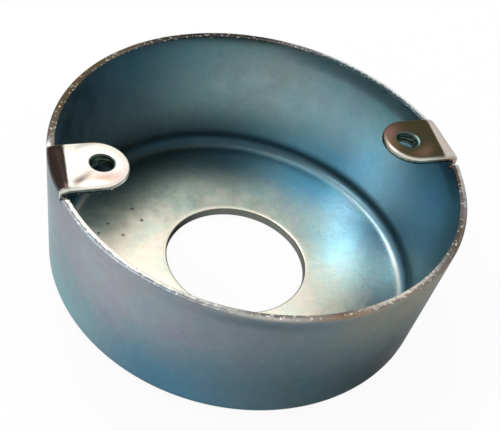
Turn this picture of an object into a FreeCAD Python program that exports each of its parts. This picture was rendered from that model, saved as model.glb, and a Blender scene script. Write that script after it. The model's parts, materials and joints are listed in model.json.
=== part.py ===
import FreeCAD, Part

# A drawn steel cup with two tapped lugs.
#
# One piece of sheet steel, shaped by press operations in this order:
#   1. the blank is drawn into a slightly tapering cup and its rim is trimmed,
#   2. the round opening is pierced through the floor,
#   3. two tabs are left standing on the rim, with a relief notch at each flank,
#   4. the tabs are folded inwards over the rim, along a straight line, into flat lugs,
#   5. each lug is plunged, which draws a short collar downwards, and tapped.
#
# Frame: millimetres, origin at the centre of the floor's underside, +Z up the
# cup's axis, +X through the two lugs.

import math
import os

import Sketcher

PART_NAME = "drawn_cup"

# alias, value in millimetres, what it measures
DIMENSIONS = [
    ("rim_diameter", 66.0, "outside diameter at the rim"),
    ("base_diameter", 62.8, "outside diameter that the tapering wall would reach at the floor plane"),
    ("rim_height", 25.0, "floor underside to rim"),
    ("wall_thickness", 1.2, "sheet thickness of the drawn wall and of the lugs"),
    ("floor_thickness", 1.6, "sheet thickness of the undrawn floor"),
    ("punch_radius", 2.4, "inside radius between floor and wall"),
    ("die_radius", 3.6, "outside radius between floor and wall"),
    ("rim_break", 0.3, "bevel of the trimmed rim's outer edge"),
    ("floor_hole_diameter", 24.0, "opening pierced through the floor"),
    ("floor_hole_break", 0.3, "bevel that the piercing punch leaves on the opening's upper edge"),
    ("lug_centres", 50.8, "distance between the two screw holes"),
    ("lug_rise", 1.2, "rim to the upper face of a lug"),
    ("lug_width", 9.8, "width of a lug and of its fold; its end is a half circle"),
    ("lug_overhang", 4.0, "screw hole centre to the tip of a lug"),
    ("lug_break", 0.35, "bevel of a lug's upper edge"),
    ("bend_radius", 0.6, "inside radius of the fold"),
    ("fold_allowance", 0.1, "how far proud of the rim the fold is struck, before it is trimmed flush"),
    ("screw_bore", 3.5, "bore of a lug's tapped hole"),
    ("screw_lead_in", 0.35, "bevel at the mouth of a lug's hole"),
    ("collar_depth", 1.0, "collar drawn down below a lug's underside"),
    ("collar_wall", 0.8, "wall of that collar"),
    ("relief_width", 0.8, "notch beside a lug's fold"),
    ("relief_depth", 1.0, "rim down to the bottom of a notch"),
]


def make_sheet(document):
    """Fills the spreadsheet that drives every sketch and feature."""
    sheet = document.addObject("Spreadsheet::Sheet", "Dimensions")
    for row, (alias, value, meaning) in enumerate(DIMENSIONS, start=1):
        sheet.set(f"A{row}", alias)
        sheet.set(f"B{row}", str(value))
        sheet.set(f"C{row}", meaning)
        sheet.setAlias(f"B{row}", alias)
    document.recompute()
    return sheet


class DrawnSketch:
    """A sketch on one of the body's origin planes, drawn with named dimensions."""

    ORIGIN = (-1, 1)
    HORIZONTAL_AXIS = -1

    def __init__(self, body, name, plane, height=None):
        self.sketch = body.newObject("Sketcher::SketchObject", name)
        support = next(p for p in body.Origin.OriginFeatures if p.Role == plane)
        self.sketch.AttachmentSupport = [(support, "")]
        self.sketch.MapMode = "FlatFace"
        if height is not None:
            self.sketch.setExpression("AttachmentOffset.Base.z", height)

    def line(self, start, end, construction=False):
        segment = Part.LineSegment(vector(start), vector(end))
        return self.sketch.addGeometry(segment, construction)

    def arc(self, start, middle, end):
        return self.sketch.addGeometry(Part.Arc(vector(start), vector(middle), vector(end)), False)

    def circle(self, centre, radius):
        circle = Part.Circle(vector(centre), FreeCAD.Vector(0, 0, 1), radius)
        return self.sketch.addGeometry(circle, False)

    def corner_point(self, place, *lines):
        """A construction point held where two lines would meet."""
        point = self.sketch.addGeometry(Part.Point(vector(place)), True)
        for line in lines:
            self.rule("PointOnObject", point, 1, line)
        return point

    def rule(self, kind, *where):
        return self.sketch.addConstraint(Sketcher.Constraint(kind, *where))

    def size(self, name, expression, kind, *where):
        """A dimension with a name of its own, bound to the spreadsheet."""
        index = self.sketch.addConstraint(Sketcher.Constraint(kind, *where))
        self.sketch.renameConstraint(index, name)
        self.sketch.setExpression(f"Constraints.{name}", expression)

    def reach(self, name, expression, element, end, value):
        """How far to the right of the origin a point lies."""
        self.size(name, expression, "DistanceX", *self.ORIGIN, element, end, value)

    def level(self, name, expression, element, end, value):
        """How far above the origin a point lies."""
        self.size(name, expression, "DistanceY", *self.ORIGIN, element, end, value)


def vector(point):
    return FreeCAD.Vector(point[0], point[1], 0)


def on_arc(centre, radius, degrees):
    """A point on a circle, as a first guess for the sketch solver."""
    turn = math.radians(degrees)
    return (centre[0] + radius * math.cos(turn), centre[1] + radius * math.sin(turn))


def draw_shell(body, sheet):
    """Draws the cup: half a section through floor, corner, wall and rim, turned round the axis."""
    rim, base = sheet.rim_diameter / 2, sheet.base_diameter / 2
    height, wall, floor = sheet.rim_height, sheet.wall_thickness, sheet.floor_thickness
    outer, inner, bevel = sheet.die_radius, sheet.punch_radius, sheet.rim_break
    outer_centre = (base - outer, outer)
    inner_centre = (base - wall - inner, floor + inner)

    section = DrawnSketch(body, "ShellSection", "XZ_Plane")
    underside = section.line((0, 0), on_arc(outer_centre, outer, -90))
    outer_corner = section.arc(*(on_arc(outer_centre, outer, a) for a in (-90, -45, 0)))
    outside = section.line(on_arc(outer_centre, outer, 0), (rim, height - bevel))
    rim_bevel = section.line((rim, height - bevel), (rim - bevel, height))
    rim_face = section.line((rim - bevel, height), (rim - wall, height))
    inside = section.line((rim - wall, height), on_arc(inner_centre, inner, 0))
    inner_corner = section.arc(*(on_arc(inner_centre, inner, a) for a in (-90, -45, 0)))
    floor_top = section.line(on_arc(inner_centre, inner, -90), (0, floor))
    axis = section.line((0, floor), (0, 0))

    section.rule("Coincident", underside, 1, *DrawnSketch.ORIGIN)
    section.rule("Tangent", underside, 2, outer_corner, 1)
    section.rule("Tangent", outer_corner, 2, outside, 1)
    section.rule("Coincident", outside, 2, rim_bevel, 1)
    section.rule("Coincident", rim_bevel, 2, rim_face, 1)
    section.rule("Coincident", rim_face, 2, inside, 1)
    section.rule("Tangent", inside, 2, inner_corner, 2)
    section.rule("Tangent", inner_corner, 1, floor_top, 1)
    section.rule("Coincident", floor_top, 2, axis, 1)
    section.rule("Coincident", axis, 2, underside, 1)
    section.rule("Horizontal", underside)
    section.rule("Horizontal", rim_face)
    section.rule("Horizontal", floor_top)
    section.rule("Vertical", axis)
    section.rule("Parallel", inside, outside)

    corner = section.corner_point((rim, height), outside, rim_face)
    foot = section.corner_point((base, 0), outside, underside)
    section.reach("rim_radius", "Dimensions.rim_diameter / 2", corner, 1, rim)
    section.level("rim_height", "Dimensions.rim_height", corner, 1, height)
    section.reach("base_radius", "Dimensions.base_diameter / 2", foot, 1, base)
    section.level("floor_thickness", "Dimensions.floor_thickness", axis, 1, floor)
    section.size("wall_thickness", "Dimensions.wall_thickness", "Distance", inside, 1, outside, wall)
    section.size("die_radius", "Dimensions.die_radius", "Radius", outer_corner, outer)
    section.size("punch_radius", "Dimensions.punch_radius", "Radius", inner_corner, inner)
    section.size("bevel_width", "Dimensions.rim_break", "DistanceX", rim_bevel, 2, corner, 1, bevel)
    section.size("bevel_height", "Dimensions.rim_break", "DistanceY", rim_bevel, 1, corner, 1, bevel)

    shell = body.newObject("PartDesign::Revolution", "DrawnShell")
    shell.Profile = section.sketch
    shell.ReferenceAxis = (section.sketch, ["V_Axis"])
    shell.Angle = 360
    body.Document.recompute()


def pierce_floor(body, sheet):
    """Pierces the round opening through the floor and bevels its upper edge."""
    radius, top = sheet.floor_hole_diameter / 2, sheet.floor_thickness
    outline = DrawnSketch(body, "FloorHoleOutline", "XY_Plane")
    circle = outline.circle((0, 0), radius)
    outline.rule("Coincident", circle, 3, *DrawnSketch.ORIGIN)
    outline.size("hole_radius", "Dimensions.floor_hole_diameter / 2", "Radius", circle, radius)

    hole = body.newObject("PartDesign::Pocket", "FloorHole")
    hole.Profile = outline.sketch
    hole.Reversed = True
    hole.Type = "Length"
    hole.setExpression("Length", "Dimensions.floor_thickness * 2")
    body.Document.recompute()

    bevel_edges(body, "FloorHoleBreak", "Dimensions.floor_hole_break",
                lambda edge: is_level(edge, top) and is_round(edge, radius))


FOLD_FACE = "(Dimensions.rim_diameter / 2 + Dimensions.fold_allowance)"
FOLD_LINE = f"({FOLD_FACE} - Dimensions.wall_thickness - Dimensions.bend_radius)"
LUG_TOP = "(Dimensions.rim_height + Dimensions.lug_rise)"


def fold_line(sheet):
    """How far from the axis the straight line lies where a lug's bend ends and its flat starts."""
    return sheet.rim_diameter / 2 + sheet.fold_allowance - sheet.wall_thickness - sheet.bend_radius


def fold_lug(body, sheet):
    """Turns the tab over the rim: a quarter ring of sheet along the straight fold."""
    fold, top = fold_line(sheet), sheet.rim_height + sheet.lug_rise
    inner, wall = sheet.bend_radius, sheet.wall_thickness
    centre = (fold, top - wall - inner)

    section = DrawnSketch(body, "LugFoldSection", "XZ_Plane")
    outer_bend = section.arc(*(on_arc(centre, inner + wall, a) for a in (0, 45, 90)))
    end = section.line((fold, top), (fold, top - wall))
    inner_bend = section.arc(*(on_arc(centre, inner, a) for a in (0, 45, 90)))
    base = section.line((fold + inner, centre[1]), (fold + inner + wall, centre[1]))

    section.rule("Coincident", outer_bend, 2, end, 1)
    section.rule("Coincident", end, 2, inner_bend, 2)
    section.rule("Coincident", inner_bend, 1, base, 1)
    section.rule("Coincident", base, 2, outer_bend, 1)
    section.rule("Coincident", outer_bend, 3, inner_bend, 3)
    section.rule("PointOnObject", outer_bend, 3, end)
    section.rule("PointOnObject", outer_bend, 3, base)
    section.rule("Vertical", end)
    section.rule("Horizontal", base)
    section.reach("fold_line", FOLD_LINE, end, 1, fold)
    section.level("lug_top", LUG_TOP, end, 1, top)
    section.size("bend_radius", "Dimensions.bend_radius", "Radius", inner_bend, inner)
    section.size("wall_thickness", "Dimensions.wall_thickness", "DistanceX", base, 1, base, 2, wall)

    fold_pad = body.newObject("PartDesign::Pad", "LugFold")
    fold_pad.Profile = section.sketch
    fold_pad.SideType = "Symmetric"
    fold_pad.setExpression("Length", "Dimensions.lug_width")
    body.Document.recompute()
    return fold_pad


def pad_tongue(body, sheet):
    """The flat of the lug: a tongue from the fold to a half-round end."""
    fold, half = fold_line(sheet), sheet.lug_width / 2
    centre = (sheet.lug_centres / 2 - sheet.lug_overhang + half, 0)

    outline = DrawnSketch(body, "LugOutline", "XY_Plane", f"{LUG_TOP} - Dimensions.wall_thickness")
    root = outline.line((fold, -half), (fold, half))
    left = outline.line((fold, half), (centre[0], half))
    end = outline.arc(*(on_arc(centre, half, a) for a in (90, 180, 270)))
    right = outline.line((centre[0], -half), (fold, -half))

    outline.rule("Coincident", root, 2, left, 1)
    outline.rule("Tangent", left, 2, end, 1)
    outline.rule("Tangent", end, 2, right, 1)
    outline.rule("Coincident", right, 2, root, 1)
    outline.rule("Horizontal", left)
    outline.rule("PointOnObject", end, 3, DrawnSketch.HORIZONTAL_AXIS)
    outline.rule("Symmetric", root, 1, root, 2, DrawnSketch.HORIZONTAL_AXIS)
    outline.reach("fold_line", FOLD_LINE, root, 2, fold)
    outline.size("lug_width", "Dimensions.lug_width", "DistanceY", root, 1, root, 2, 2 * half)
    outline.reach("tip_centre",
                  "Dimensions.lug_centres / 2 - Dimensions.lug_overhang + Dimensions.lug_width / 2",
                  end, 3, centre[0])

    tongue = body.newObject("PartDesign::Pad", "LugTongue")
    tongue.Profile = outline.sketch
    tongue.setExpression("Length", "Dimensions.wall_thickness")
    body.Document.recompute()
    return tongue


def screw_circle(body, sheet, name, radius, radius_expression, height):
    """A sketch of one circle about the screw hole's centre, at a given height."""
    outline = DrawnSketch(body, name, "XY_Plane", height)
    circle = outline.circle((sheet.lug_centres / 2, 0), radius)
    outline.rule("PointOnObject", circle, 3, DrawnSketch.HORIZONTAL_AXIS)
    outline.size("radius", radius_expression, "Radius", circle, radius)
    outline.reach("lug_centre", "Dimensions.lug_centres / 2", circle, 3, sheet.lug_centres / 2)
    return outline


def plunge_collar(body, sheet):
    """The collar that plunging the hole draws down, which gives the thread its length."""
    radius = sheet.screw_bore / 2 + sheet.collar_wall
    outline = screw_circle(body, sheet, "CollarOutline", radius,
                           "Dimensions.screw_bore / 2 + Dimensions.collar_wall",
                           f"{LUG_TOP} - Dimensions.wall_thickness - Dimensions.collar_depth")
    collar = body.newObject("PartDesign::Pad", "LugCollar")
    collar.Profile = outline.sketch
    collar.setExpression("Length", "Dimensions.collar_depth + Dimensions.wall_thickness / 2")
    body.Document.recompute()
    return collar


def bore_screw_hole(body, sheet):
    """The tapped hole, bored from the lug's face down through its collar."""
    outline = screw_circle(body, sheet, "ScrewHoleCentre", sheet.screw_bore / 2,
                           "Dimensions.screw_bore / 2", LUG_TOP)
    body.Document.recompute()
    hole = body.newObject("PartDesign::Hole", "ScrewHole")
    hole.Profile = outline.sketch
    hole.DepthType = "Dimension"
    hole.DrillPoint = "Flat"
    hole.setExpression("Diameter", "Dimensions.screw_bore")
    hole.setExpression("Depth", "Dimensions.wall_thickness + Dimensions.collar_depth + Dimensions.screw_bore")
    body.Document.recompute()
    return hole


def cut_reliefs(body, sheet):
    """The notches beside the fold, cut before folding so that the rim doesn't tear."""
    flank, width = sheet.lug_width / 2, sheet.relief_width
    bottom, top = sheet.rim_height - sheet.relief_depth, sheet.rim_height + sheet.lug_rise
    outline = DrawnSketch(body, "ReliefOutline", "YZ_Plane")
    for name, side in (("left", 1), ("right", -1)):
        low, high = sorted((side * flank, side * (flank + width)))
        centre = ((low + high) / 2, bottom + width / 2)
        cup = outline.arc(*(on_arc(centre, width / 2, a) for a in (180, 270, 360)))
        far = outline.line((high, centre[1]), (high, top))
        mouth = outline.line((high, top), (low, top))
        near = outline.line((low, top), (low, centre[1]))
        outline.rule("Tangent", cup, 2, far, 1)
        outline.rule("Coincident", far, 2, mouth, 1)
        outline.rule("Coincident", mouth, 2, near, 1)
        outline.rule("Tangent", near, 2, cup, 1)
        outline.rule("Vertical", far)
        outline.rule("Vertical", near)
        outline.rule("Horizontal", mouth)
        outline.size(f"{name}_notch_radius", "Dimensions.relief_width / 2", "Radius", cup, width / 2)
        outline.reach(f"{name}_notch_place", f"{side} * (Dimensions.lug_width + Dimensions.relief_width) / 2",
                      cup, 3, centre[0])
        outline.level(f"{name}_notch_bottom",
                      "Dimensions.rim_height - Dimensions.relief_depth + Dimensions.relief_width / 2",
                      cup, 3, centre[1])
        outline.level(f"{name}_notch_top", LUG_TOP, mouth, 1, top)

    relief = body.newObject("PartDesign::Pocket", "LugRelief")
    relief.Profile = outline.sketch
    relief.Reversed = True
    relief.Type = "Length"
    relief.setExpression("Length", "Dimensions.rim_diameter")
    body.Document.recompute()
    return relief


def repeat_opposite(body, name, features):
    """Repeats features on the other side of the cup's axis."""
    pattern = body.newObject("PartDesign::PolarPattern", name)
    pattern.Originals = features
    z_axis = next(a for a in body.Origin.OriginFeatures if a.Role == "Z_Axis")
    pattern.Axis = (z_axis, [""])
    pattern.Angle = 360
    pattern.Occurrences = 2
    body.Tip = pattern
    body.Document.recompute()
    return pattern


def trim_to_wall(body, sheet):
    """Trims the folds to the cup's own tapering outside, so that the bend runs out in a crescent."""
    rim, base = sheet.rim_diameter / 2, sheet.base_diameter / 2
    height, top = sheet.rim_height, sheet.rim_height + 2 * sheet.lug_rise
    foot, reach = height - 2 * sheet.relief_depth, rim + 2 * sheet.wall_thickness

    def wall_at(level):
        return base + (rim - base) * level / height

    ring = DrawnSketch(body, "OutsideTrimSection", "XZ_Plane")
    wall = ring.line((base, 0), (rim, height), construction=True)
    inner = ring.line((wall_at(foot), foot), (wall_at(top), top))
    upper = ring.line((wall_at(top), top), (reach, top))
    outer = ring.line((reach, top), (reach, foot))
    lower = ring.line((reach, foot), (wall_at(foot), foot))
    ring.reach("rim_radius", "Dimensions.rim_diameter / 2", wall, 2, rim)
    ring.level("rim_height", "Dimensions.rim_height", wall, 2, height)
    ring.reach("base_radius", "Dimensions.base_diameter / 2", wall, 1, base)
    ring.rule("PointOnObject", wall, 1, DrawnSketch.HORIZONTAL_AXIS)
    for line, following in ((inner, upper), (upper, outer), (outer, lower), (lower, inner)):
        ring.rule("Coincident", line, 2, following, 1)
    ring.rule("PointOnObject", inner, 1, wall)
    ring.rule("PointOnObject", inner, 2, wall)
    ring.rule("Horizontal", upper)
    ring.rule("Vertical", outer)
    ring.rule("Horizontal", lower)
    ring.level("top", "Dimensions.rim_height + 2 * Dimensions.lug_rise", upper, 1, top)
    ring.level("foot", "Dimensions.rim_height - 2 * Dimensions.relief_depth", lower, 1, foot)
    ring.reach("reach", "Dimensions.rim_diameter / 2 + 2 * Dimensions.wall_thickness", outer, 1, reach)

    trim = body.newObject("PartDesign::Groove", "OutsideTrim")
    trim.Profile = ring.sketch
    trim.ReferenceAxis = (ring.sketch, ["V_Axis"])
    trim.Angle = 360
    body.Document.recompute()


def bevel_edges(body, name, width, wanted):
    """Bevels those edges of the body's tip that the test picks."""
    tip = body.Tip
    names = [f"Edge{n}" for n, edge in enumerate(tip.Shape.Edges, start=1) if wanted(edge)]
    if not names:
        raise RuntimeError(f"{name} found no edge")
    bevel = body.newObject("PartDesign::Chamfer", name)
    bevel.Base = (tip, names)
    bevel.setExpression("Size", width)
    body.Document.recompute()


def is_level(edge, height):
    """True where an edge lies flat at one height."""
    box = edge.BoundBox
    return abs(box.ZMin - height) < 1e-4 and abs(box.ZMax - height) < 1e-4


def is_round(edge, radius):
    return isinstance(edge.Curve, Part.Circle) and abs(edge.Curve.Radius - radius) < 1e-4


def bevel_lugs(body, sheet):
    """Bevels the upper edge that blanking breaks along a lug's flanks, its end and over its fold."""
    top, half = sheet.rim_height + sheet.lug_rise, sheet.lug_width / 2
    fold, bend = fold_line(sheet), sheet.bend_radius + sheet.wall_thickness

    def on_outline(edge):
        box = edge.BoundBox
        if is_level(edge, top):
            return is_round(edge, half) or (box.YLength < 1e-4 and abs(abs(box.YMin) - half) < 1e-4)
        return is_round(edge, bend) and abs(abs(box.Center.y) - half) < 1e-4 and abs(box.Center.x) > fold

    bevel_edges(body, "LugBreak", "Dimensions.lug_break", on_outline)


def bevel_hole_mouths(body, sheet):
    """Bevels the mouths of the two screw holes."""
    top = sheet.rim_height + sheet.lug_rise
    bevel_edges(body, "ScrewLeadIn", "Dimensions.screw_lead_in",
                lambda edge: is_level(edge, top) and is_round(edge, sheet.screw_bore / 2))


def build_cup(document, sheet):
    """The whole stamping, in the order of its press operations."""
    body = document.addObject("PartDesign::Body", "Body")
    body.Label = PART_NAME
    draw_shell(body, sheet)
    pierce_floor(body, sheet)
    lug = [fold_lug(body, sheet), pad_tongue(body, sheet), plunge_collar(body, sheet)]
    repeat_opposite(body, "LugPair", lug)
    bevel_lugs(body, sheet)
    trim_to_wall(body, sheet)
    cuts = [cut_reliefs(body, sheet), bore_screw_hole(body, sheet)]
    repeat_opposite(body, "CutPair", cuts)
    bevel_hole_mouths(body, sheet)
    body.Placement = FreeCAD.Placement()
    return body


def check(document, parts):
    """Stops the build if an object failed, a sketch is loose, or a part isn't one valid solid."""
    failed = [o.Name for o in document.Objects if {"Invalid", "Error"} & set(o.State)]
    if failed:
        raise RuntimeError(f"failed objects: {', '.join(failed)}")
    loose = [s.Name for s in document.findObjects("Sketcher::SketchObject") if not s.FullyConstrained]
    if loose:
        raise RuntimeError(f"sketches not fully constrained: {', '.join(loose)}")
    for part in parts:
        if part.Shape.isNull() or not part.Shape.isValid() or len(part.Shape.Solids) != 1:
            raise RuntimeError(f"{part.Label} isn't one valid solid")


def export(parts):
    os.makedirs("parts", exist_ok=True)
    for part in parts:
        part.Shape.exportStep(f"parts/{part.Label}.step")


document = FreeCAD.newDocument("DrawnCup")
dimensions = make_sheet(document)
cup = build_cup(document, dimensions)
document.recompute()
check(document, [cup])
export([cup])
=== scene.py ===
"""Looks of a shallow drawn steel cup with two tapped lugs, in bright zinc with a blue passivate.

The cup is one stamping, so it is one closed surface here too. Its faces are grids of
points that are worked out from the sheet's sizes in millimetres: the outer face, the
floor and the inner face as turned profiles, the two lugs as a fold, a tongue and a
plunged hole, and all round them the trimmed edge of the sheet, carried along its path.
The plate's colour changes slowly over the cup and is laid on as soft-edged washes around an angle and a
height. Under the passivate film's own blue and faint iridescence, most washes are painted light: painted
reflections of the room, painted highlights and painted shade.
"""

import json
import logging
import math
from collections.abc import Callable
from dataclasses import dataclass, field
from enum import Enum
from typing import Any

import bmesh
import bpy
import numpy as np
from mathutils import Matrix, Vector

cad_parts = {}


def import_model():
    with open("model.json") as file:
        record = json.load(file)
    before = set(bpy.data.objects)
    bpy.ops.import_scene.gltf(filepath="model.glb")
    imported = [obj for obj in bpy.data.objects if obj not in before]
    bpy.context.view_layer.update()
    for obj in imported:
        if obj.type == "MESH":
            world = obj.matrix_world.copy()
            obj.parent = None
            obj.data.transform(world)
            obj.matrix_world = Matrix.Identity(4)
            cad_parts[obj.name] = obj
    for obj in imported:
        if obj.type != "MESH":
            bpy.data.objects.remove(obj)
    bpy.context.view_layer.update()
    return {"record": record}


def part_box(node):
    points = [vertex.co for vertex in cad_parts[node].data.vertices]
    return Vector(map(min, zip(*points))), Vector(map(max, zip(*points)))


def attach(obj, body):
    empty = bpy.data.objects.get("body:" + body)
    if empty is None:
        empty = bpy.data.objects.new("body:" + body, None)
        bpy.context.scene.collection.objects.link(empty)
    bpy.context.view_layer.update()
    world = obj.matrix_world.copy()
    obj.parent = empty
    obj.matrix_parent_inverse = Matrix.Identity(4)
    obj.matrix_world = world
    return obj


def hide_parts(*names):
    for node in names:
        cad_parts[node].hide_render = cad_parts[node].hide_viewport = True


LOG = logging.getLogger("drawn_cup")

MM = 0.001
CAD_NODE = "drawn_cup"
BODY = "root"
# Points closer than this are one point, and an edge shorter than the next is none.
WELD_MM = 2e-4
SPECK_MM = 1e-5
ROUNDING = 1e-9
# The middle of a quarter round lies about 2/7 of its radius from either side of its corner.
QUARTER_MIDDLE = 2 / 7
# Faces that meet at more than this many degrees are shaded with a crisp edge between them.
SHARP_DEG = 32


class Face(Enum):
    """The faces of the stamping, which differ in polish and in colour, much of that colour painted
    reflection, highlight and shade.
    """

    OUTSIDE = "outside"
    UNDERSIDE = "underside"
    OPENING = "opening"
    FLOOR = "floor"
    INSIDE = "inside"
    LEFT_LUG = "left lug"
    RIGHT_LUG = "right lug"
    THREAD = "thread"
    LEFT_BEND = "left bend"
    RIGHT_BEND = "right bend"
    RIM_LAND = "rim's land"
    RIM_LIP = "rim's inner lip"
    LEFT_ROLL = "left lug's rolled edge"
    RIGHT_ROLL = "right lug's rolled edge"
    LUG_CUT = "lug's cut side"


@dataclass(frozen=True)
class LugFaces:
    """The colours and polish that one lug wears on its flat, its bend and its rolled edge, the colours
    mostly painted reflection and highlight.
    """

    flat: Face
    bend: Face
    roll: Face


# The lugs are keyed by their side of the cup: 1 for the right, -1 for the left.
LUG_FACES = {
    1: LugFaces(Face.RIGHT_LUG, Face.RIGHT_BEND, Face.RIGHT_ROLL),
    -1: LugFaces(Face.LEFT_LUG, Face.LEFT_BEND, Face.LEFT_ROLL),
}


def linear(colour: str) -> np.ndarray:
    """Turns an sRGB hex colour into linear light.

    Args:
        colour: six hex digits after a hash.

    Returns:
        Red, green and blue from 0 to 1.
    """
    channels = np.array([int(colour[i : i + 2], 16) for i in (1, 3, 5)]) / 255
    return np.where(channels <= 0.04045, channels / 12.92, ((channels + 0.055) / 1.055) ** 2.4)


def ease(share: np.ndarray) -> np.ndarray:
    """Turns a straight ramp from 0 to 1 into one with soft ends: 3t^2 - 2t^3."""
    share = np.clip(share, 0, 1)
    return share * share * (3 - 2 * share)


def turn_apart(angle: np.ndarray, other: float) -> np.ndarray:
    """The smallest turn between angles in degrees, from 0 to 180."""
    return np.abs((angle - other + 180) % 360 - 180)


@dataclass
class CupSizes:
    """Sizes of the stamping in millimetres. Those that the frame states are read from it."""

    rim_radius: float
    lug_top: float
    lug_centre: float
    screw_radius: float
    hole_radius: float
    wall: float = 1.2
    floor: float = 1.6
    taper: float = 0.064
    punch_radius: float = 2.4
    die_radius: float = 3.6
    lug_rise: float = 1.2
    lug_half_width: float = 4.9
    lug_overhang: float = 4.0
    bend_radius: float = 0.6
    fold_allowance: float = 0.1
    collar_radius: float = 2.55
    collar_depth: float = 1.0
    lead_in: float = 0.35
    notch_width: float = 0.8
    notch_depth: float = 1.0
    hole_break: float = 0.3
    rim_roll: float = 0.3
    notch_roll: float = 0.14
    lug_roll: float = 0.5
    burr: float = 0.08

    @classmethod
    def from_frame(cls, record: dict[str, Any]) -> "CupSizes":
        """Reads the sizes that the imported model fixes.

        Args:
            record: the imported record, with its mounts.

        Returns:
            The sizes in millimetres.
        """
        low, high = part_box(CAD_NODE)
        mounts = {mount["name"]: mount for mount in record["mounts"]}
        screws = mounts["lug_screws"]["dims"]
        return cls(
            rim_radius=(high.x - low.x) / 2 / MM,
            lug_top=high.z / MM,
            lug_centre=screws["spacing_x_mm"] / 2,
            screw_radius=screws["hole_r_mm"],
            hole_radius=mounts["floor_opening"]["dims"]["r_mm"],
        )

    @property
    def rim_height(self) -> float:
        """Height of the rim above the floor's underside."""
        return self.lug_top - self.lug_rise

    @property
    def slope(self) -> float:
        """Lean of the wall from upright, in radians."""
        return math.atan(self.taper)

    @property
    def fold_x(self) -> float:
        """How far from the axis a lug's flat ends and its bend starts."""
        return self.rim_radius + self.fold_allowance - self.wall - self.bend_radius

    @property
    def bend_height(self) -> float:
        """Height of the bend's own centre line."""
        return self.lug_top - self.wall - self.bend_radius

    @property
    def tip_x(self) -> float:
        """How far from the axis the centre of a lug's half-round end lies."""
        return self.lug_centre - self.lug_overhang + self.lug_half_width

    def outer_radius(self, height: np.ndarray) -> np.ndarray:
        """The outside's radius at a height: the wall leans outwards by its taper."""
        return self.rim_radius - self.taper * (self.rim_height - height)

    def inner_radius(self, height: np.ndarray) -> np.ndarray:
        """The inside's radius at a height: the outside's, less the sheet measured level."""
        return self.outer_radius(height) - self.wall / math.cos(self.slope)


@dataclass
class SheetEdge:
    """The trimmed edge of the sheet, point by point along its path.

    Each array has one row for a point: where the outer and the inner face end, which way
    each face looks there, which way the edge itself looks, and how wide the outer edge is
    rolled over and the inner one burred.
    """

    outer: np.ndarray
    outer_normal: np.ndarray
    inner: np.ndarray
    inner_normal: np.ndarray
    outward: np.ndarray
    roll: np.ndarray
    burr: np.ndarray

    def scaled(self, factors: tuple[int, int, int]) -> "SheetEdge":
        """The same run with every place and direction multiplied axis by axis.

        Args:
            factors: the multipliers along X, Y and Z.

        Returns:
            The new run, with the same rolls and burrs.
        """
        vectors = (self.outer, self.outer_normal, self.inner, self.inner_normal, self.outward)
        return SheetEdge(*(vector * np.array(factors) for vector in vectors), self.roll, self.burr)

    def mirrored(self) -> "SheetEdge":
        """The same run on the other side of the XZ plane, followed the other way."""
        return SheetEdge(*(values[::-1] for values in vars(self.scaled((1, -1, 1))).values()))

    def opposite(self) -> "SheetEdge":
        """The same run half a turn round the cup's axis."""
        return self.scaled((-1, -1, 1))

    @staticmethod
    def join(runs: "list[SheetEdge]") -> "SheetEdge":
        """One path from several runs, end to end."""
        return SheetEdge(*(np.concatenate(values) for values in zip(*(vars(run).values() for run in runs))))

    def section(self, roll_rows: int = 5, land_rows: int = 4, burr_rows: int = 3) -> np.ndarray:
        """The edge's surface.

        A quarter round of the roll's radius leaves the outer face, a flat crosses the
        sheet, and a quarter round of the burr's radius meets the inner face: a point on
        a quarter round is its start, plus radius times sine along the edge's own
        direction, less radius times one minus cosine along the face's normal.

        Args:
            roll_rows: rows of points over the roll.
            land_rows: rows of points over the flat.
            burr_rows: rows of points over the burr.

        Returns:
            A grid of points, rows across the sheet by points along the edge.
        """
        roll_turns = np.linspace(0, math.pi / 2, roll_rows)
        burr_turns = np.linspace(math.pi / 2, 0, burr_rows)
        rolled = [self._quarter(self.outer, self.outer_normal, self.roll, turn) for turn in roll_turns]
        burred = [self._quarter(self.inner, self.inner_normal, self.burr, turn) for turn in burr_turns]
        shares = np.linspace(0, 1, land_rows + 2)[1:-1]
        middle = [rolled[-1] * (1 - share) + burred[0] * share for share in shares]
        return np.stack(rolled + middle + burred)

    def _quarter(self, start: np.ndarray, normal: np.ndarray, radius: np.ndarray, turn: float) -> np.ndarray:
        """One row of points on the quarter round that leaves a face.

        Args:
            start: where the face ends.
            normal: which way the face looks there.
            radius: the quarter round's radius at each point.
            turn: how far round the row lies, from 0 at the face to a quarter turn at the edge.

        Returns:
            The row's points.
        """
        return start + radius[:, None] * (math.sin(turn) * self.outward - (1 - math.cos(turn)) * normal)


@dataclass(frozen=True)
class Wash:
    """A soft-edged patch of colour: mostly painted reflection, highlight and shade, in part the passivate
    film's own tint.

    It lies around an angle in degrees and a level in millimetres, which is a height on
    the walls and a radius on the floor and the lugs.
    """

    colour: str
    angle: float
    reach: float
    level: float
    spread: float
    strength: float = 1.0
    hardness: float = 2.0

    def cover(self, angle: np.ndarray, level: np.ndarray) -> np.ndarray:
        """How much of the patch lies on each point: its strength times two bell curves.

        Each falls as exp(-distance ^ hardness), so that a harder patch has a crisper border.

        Args:
            angle: angles round the axis, in degrees.
            level: heights or radii, in millimetres.

        Returns:
            The cover, from 0 to 1.
        """
        around = np.exp(-((turn_apart(angle, self.angle) / self.reach) ** self.hardness))
        along = np.exp(-((np.abs(level - self.level) / self.spread) ** self.hardness))
        return self.strength * around * along


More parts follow.
